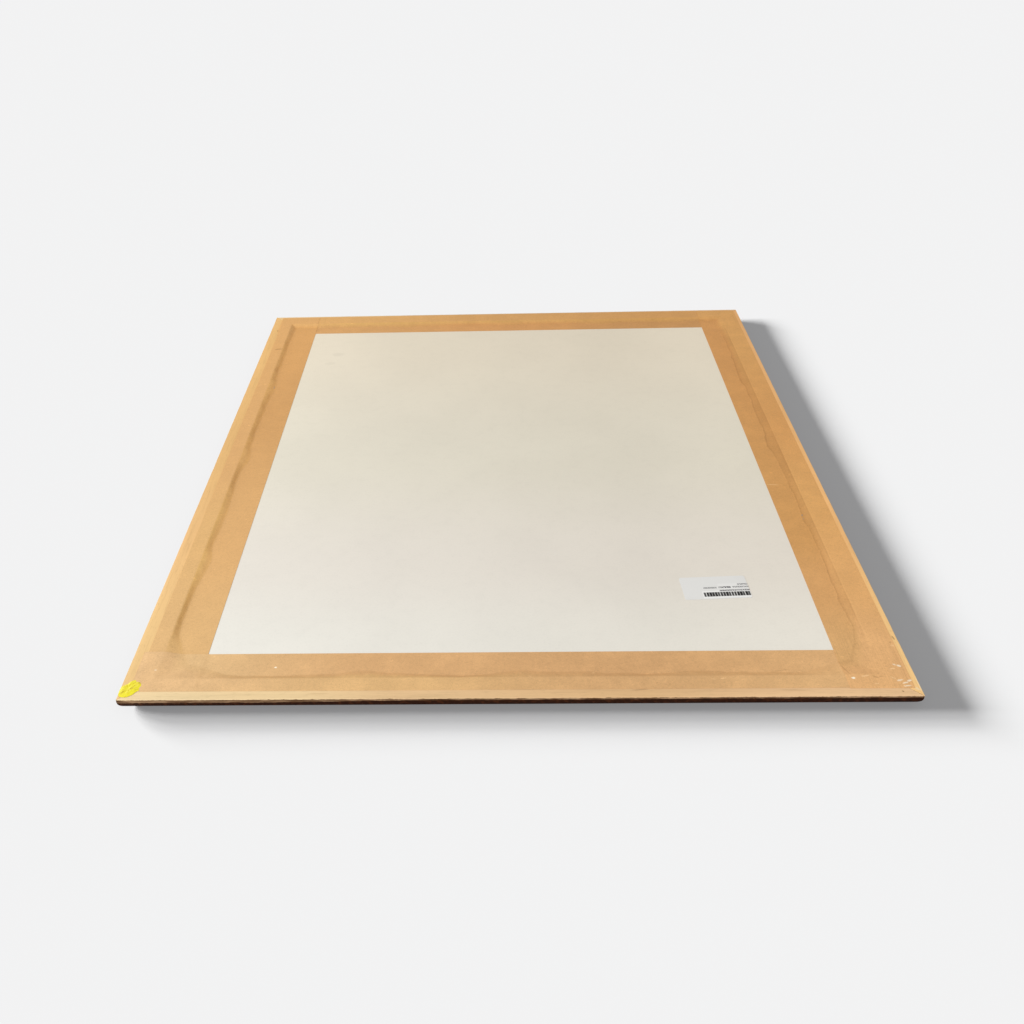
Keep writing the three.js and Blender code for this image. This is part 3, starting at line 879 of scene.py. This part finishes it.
def board_finish():
    card = Finish("backing_card", 500.0, Roughness=0.7, Specular_IOR_Level=0.25)
    body = card.graded("Y", BOARD_TONES_AND_LIGHT)
    across = card.axis("X")
    clouds = card.noise(11.0, 3.0)
    for mask, share in (
        # Painted light: the board is made lighter towards its right and left edges.
        (card.step(across, 100 * MM, 250 * MM), 1.07),
        (card.step(across, -120 * MM, -250 * MM), 1.025),
        (card.step(clouds, 0.35, 0.65), 0.976),
        (card.step(card.noise(95.0, 3.0), 0.45, 0.75) * 0.5, 0.965),
        (card.step(card.grit, 0.45, 0.8) * 0.45, 0.93),
    ):
        body = card.mix(mask, body, card.scaled(body, share))
    for x, y, half_x, half_y, strength in SMUDGES:
        smudge = card.spot((x * MM, y * MM), (half_x * MM, half_y * MM), 0, 0.9)
        body = card.mix(smudge * strength, body, card.scaled(body, 0.84))
    return card.wear(Base_Color=body, Normal=card.bump(card.grit * 0.5 + clouds * 0.5, 0.00005, 0.4))


board_look = board_finish()

# %% Label finish
LABEL_TURN = math.radians(2.7)
LABEL_SIZE = (57 * MM, 32 * MM)
BAR_PITCH = 2.36
BARS_FROM = 17.0
INK = colour("#040406")
GREY_INK = colour("#221C26")
# each row of dashes: its height, where it starts and ends, and how strong it is
PRINT_ROWS = (
    (11.3, 31.2, 57.0, 0.75),
    (15.7, 18.3, 29.6, 0.6),
    (15.9, 31.4, 34.7, 0.7),
    (15.9, 34.7, 41.8, 1.0),
    (15.9, 43.2, 57.2, 0.65),
    (19.6, 48.2, 57.2, 0.6),
)


def label_finish():
    low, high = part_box("stock_label")
    middle = (low + high) / 2
    half = Matrix.Rotation(LABEL_TURN, 2) @ Vector((LABEL_SIZE[0] / 2, LABEL_SIZE[1] / 2))
    corner = (middle.x - half.x, middle.y - half.y)
    label = Finish("label_stock", Roughness=0.45, Specular_IOR_Level=0.3)
    seen = label.local(corner, LABEL_TURN, (MM, MM))
    across = label.axis("X", seen)
    up = label.axis("Y", seen)

    stock = colour("#E0DBD2")
    white = colour("#F4EFE6")
    body = label.mix(label.step(label.noise(60.0, 2.0), 0.4, 0.7), stock, shade(stock, 0.975))
    bars_white = label.between(across, BARS_FROM - 1, 57.2, 0.4) * label.between(up, 0.8, 11.3, 0.4)
    text_white = label.between(across, 31, 57.2, 0.6) * label.between(up, 10, 21.2, 0.5)
    body = label.mix(label.math("MAXIMUM", bars_white, text_white * 0.4) * 0.6, body, white)

    place = (across - BARS_FROM) / BAR_PITCH
    number = label.math("FLOOR", place)
    chance = label.node("ShaderNodeTexWhiteNoise", {"noise_dimensions": "1D"}, {"W": number + 3.5}, "Value")
    share = label.math("FRACT", place)
    bar = label.step(share, 0.80 + chance * 0.18, 0.72 + chance * 0.18)
    bars = bar * label.between(up, 3.2, 9.2, 0.1) * label.between(across, BARS_FROM, 57.0, 0.1)
    body = label.mix(bars * (0.92 + chance * 0.08), body, INK)

    tall = label.node("ShaderNodeVectorMath", {"operation": "MULTIPLY"}, {0: seen, 1: (1, 0.5, 0)})
    letters = label.step(label.noise(1.35, 1.0, tall), 0.36, 0.48)
    for height, start, end, strength in PRINT_ROWS:
        row = label.between(up, height - 1.1, height + 1.1, 0.3) * label.between(across, start, end, 0.2)
        body = label.mix(row * letters * strength, body, GREY_INK)
    return label.wear(Base_Color=body, Normal=label.bump(label.noise(500.0, 2.0), 0.00002, 0.3))


label_look = label_finish()

# %% [markdown]
# ## Paint, steel, glass, mat and art
# The rest is mostly hidden, but each piece still gets what its stuff shows. Dried paint is darker and
# browner at its thin rim and in streaks along its brush strokes. Steel is brushed, glass is dusty, and the
# mat and the art sheet are soft, fibrous papers.

# %% Paint, steel, glass, mat and art finishes
def paint_finish():
    paint = Finish("yellow_paint", Roughness=0.45, Specular_IOR_Level=0.4)
    height = paint.axis("Z") - BACK
    seen = paint.local((DAUB_MIDDLE.x, DAUB_MIDDLE.y), DAUB_LEAN, (3.4 * MM, 1.3 * MM))
    strokes = paint.noise(0.5, 3.0, seen, 0.55)
    body = paint.mix(paint.step(strokes, 0.42, 0.62), colour("#E6D31C"), colour("#D8BF0E"))
    body = paint.mix(paint.step(strokes, 0.56, 0.66) * 0.6, body, colour("#A5840C"))
    rim = paint.step(height + (paint.noise(700.0, 2.0) - 0.5) * 0.0003, 0.34 * MM, 0.16 * MM)
    body = paint.mix(rim * 0.8, body, colour("#9C7A22"))
    return paint.wear(Base_Color=body, Normal=paint.bump(strokes, 0.00025, 0.7))


def steel_finish():
    steel = Finish("point_steel", Metallic=1.0)
    brushed = steel.noise(1.0, 3.0, steel.stretched((300, 3000, 3000)))
    body = steel.mix(brushed, colour("#8E8E8C"), colour("#B4B4B2"))
    return steel.wear(Base_Color=body, Roughness=0.28 + brushed * 0.2)


def glass_finish():
    glass = Finish("float_glass", IOR=1.5, Alpha=0.3)
    dust = glass.step(glass.noise(300.0, 3.0), 0.6, 0.9)
    body = glass.mix(dust * 0.5, colour("#EAF5F0"), colour("#D8DCD6"))
    return glass.wear(Base_Color=body, Roughness=0.03 + dust * 0.1)


def mat_finish():
    card = Finish("mat_card", Roughness=0.85)
    fibre = card.noise(900.0, 3.0)
    body = card.mix(fibre, colour("#F1EDE2"), colour("#E6E1D4"))
    return card.wear(Base_Color=body, Normal=card.bump(fibre, 0.00008, 0.6))


def art_finish():
    art = Finish("art_paper", Roughness=0.85)
    wash = art.noise(5.0, 4.0, None, 0.55)
    body = art.mix(art.step(wash, 0.3, 0.7), colour("#D9D3C2"), colour("#9FAAA3"))
    return art.wear(Base_Color=body, Normal=art.bump(art.noise(700.0, 2.0), 0.00005, 0.5))


# %% Give every node and piece its finish
def wear_finish(piece, material):
    piece.data.materials.clear()
    piece.data.materials.append(material)


def dress(piece, node, material):
    """Finish a new piece, let it stand for its measured node, and make it ride with the frame."""
    wear_finish(piece, material)
    wear_finish(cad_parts[node], material)
    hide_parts(node)
    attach(piece, "root")


steel_look = steel_finish()
node_looks = {
    "backing_board": board_look,
    "stock_label": label_look,
    "glazing": glass_finish(),
    "window_mat": mat_finish(),
    "art_sheet": art_finish(),
}
for name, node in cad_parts.items():
    if "_point_" in name or "_vnail_" in name:
        wear_finish(node, steel_look)
    elif name in node_looks:
        wear_finish(node, node_looks[name])

wood_looks = {"near": wood_across, "right": wood_right, "far": wood_across, "left": wood_left}
for side, rail in rails.items():
    dress(rail, f"{side}_rail", wood_looks[side])
for side, strip in strips.items():
    dress(strip, f"{side}_tape", tape_looks[side])
dress(daub, "paint_daub", paint_finish())
print("finishes:", len(bpy.data.materials))

# %% [markdown]
# ## Light and floor
# The floor is plain and pale, and glows a little, as a lit studio sweep does. That keeps the frame's shadow
# a clean even grey, with no dark halo where the frame stands. Even light from all round gives the frame
# most of its light. A broad cool panel stands in for a window near its left corner, so the board falls off
# from cool and bright there to warm and duller at the far right, and a small warm panel lifts the left side.
#
# A low sun, spread over three lamps side by side, throws the frame's soft shadow out to the right. It would
# also rake over every wrinkle of the paper, so light linking keeps it on the floor, and the panels off it.

# %% Floor and surroundings
FLOOR_GREY = (0.097, 0.100, 0.1054, 1.0)
FLOOR_GLOW = (0.222, 0.221, 0.225, 1.0)
AMBIENT = (1.0, 0.97, 0.92, 1.0)
AMBIENT_STRENGTH = 0.70
BACKDROP_STRENGTH = 0.888
FLOOR_SIZE = 40

let_go()
bpy.ops.mesh.primitive_plane_add(size=FLOOR_SIZE, location=(0, 0, 0))
floor = new_piece("studio_floor")
floor_look = Finish("studio_floor", Roughness=1.0, Specular_IOR_Level=0.0, Emission_Strength=1.0)
wear_finish(floor, floor_look.wear(Base_Color=FLOOR_GREY, Emission_Color=FLOOR_GLOW))


def make_world():
    """Warm even light, with a plain pale backdrop where the camera sees past the floor."""
    world = bpy.data.worlds.new("studio")
    world.use_nodes = True
    tree = world.node_tree
    ambient = tree.nodes["Background"]
    ambient.inputs["Color"].default_value = AMBIENT
    ambient.inputs["Strength"].default_value = AMBIENT_STRENGTH
    backdrop = tree.nodes.new("ShaderNodeBackground")
    backdrop.inputs["Strength"].default_value = BACKDROP_STRENGTH
    backdrop.inputs["Color"].default_value = (1, 1, 1, 1)
    rays = tree.nodes.new("ShaderNodeLightPath")
    choice = tree.nodes.new("ShaderNodeMixShader")
    tree.links.new(rays.outputs["Is Camera Ray"], choice.inputs[0])
    tree.links.new(ambient.outputs[0], choice.inputs[1])
    tree.links.new(backdrop.outputs[0], choice.inputs[2])
    tree.links.new(choice.outputs[0], tree.nodes["World Output"].inputs["Surface"])
    return world


bpy.context.scene.world = make_world()


# %% Lights
SUN_STRENGTH = 26.7
SUN_ANGLE = math.radians(12)
SUN_TINT = (1.0, 0.97, 0.92)
SUN_PLACES = ((-4.7, 0.4, 1.27), (-4.7, 1.7, 1.27), (-4.7, 3.0, 1.27))


def add_light(name, kind, strength, tint, from_point):
    """A light that shines from this point towards the middle of the frame."""
    data = bpy.data.lights.new(name, kind)
    data.energy = strength
    data.color = tint
    light = bpy.data.objects.new(name, data)
    bpy.context.scene.collection.objects.link(light)
    light.location = from_point
    light.rotation_euler = Vector(from_point).to_track_quat("Z", "Y").to_euler()
    return light


def add_panel(name, strength, tint, from_point, size):
    """A square panel that the camera can't see and that doesn't light the floor."""
    panel = add_light(name, "AREA", strength, tint, from_point)
    panel.data.size = size
    panel.visible_camera = False
    light_only(panel, floor, "EXCLUDE")


def light_only(light, piece, state):
    """Keep a light on this piece alone (INCLUDE) or off it (EXCLUDE)."""
    receivers = bpy.data.collections.new(f"{light.name}_receivers")
    receivers.objects.link(piece)
    receivers.collection_objects[0].light_linking.link_state = state
    light.light_linking.receiver_collection = receivers


add_panel("window_panel", 40.5, (0.60, 0.75, 1.0), (-1.2, -1.5, 0.9), 0.8)
add_panel("side_panel", 3.2, (1.0, 0.98, 0.86), (-0.96, 0.49, 0.35), 0.4)
for number, place in enumerate(SUN_PLACES, 1):
    shadow_sun = add_light(f"shadow_sun_{number}", "SUN", SUN_STRENGTH, SUN_TINT, place)
    shadow_sun.data.angle = SUN_ANGLE
    light_only(shadow_sun, floor, "INCLUDE")
bpy.context.scene.view_settings.view_transform = "Standard"
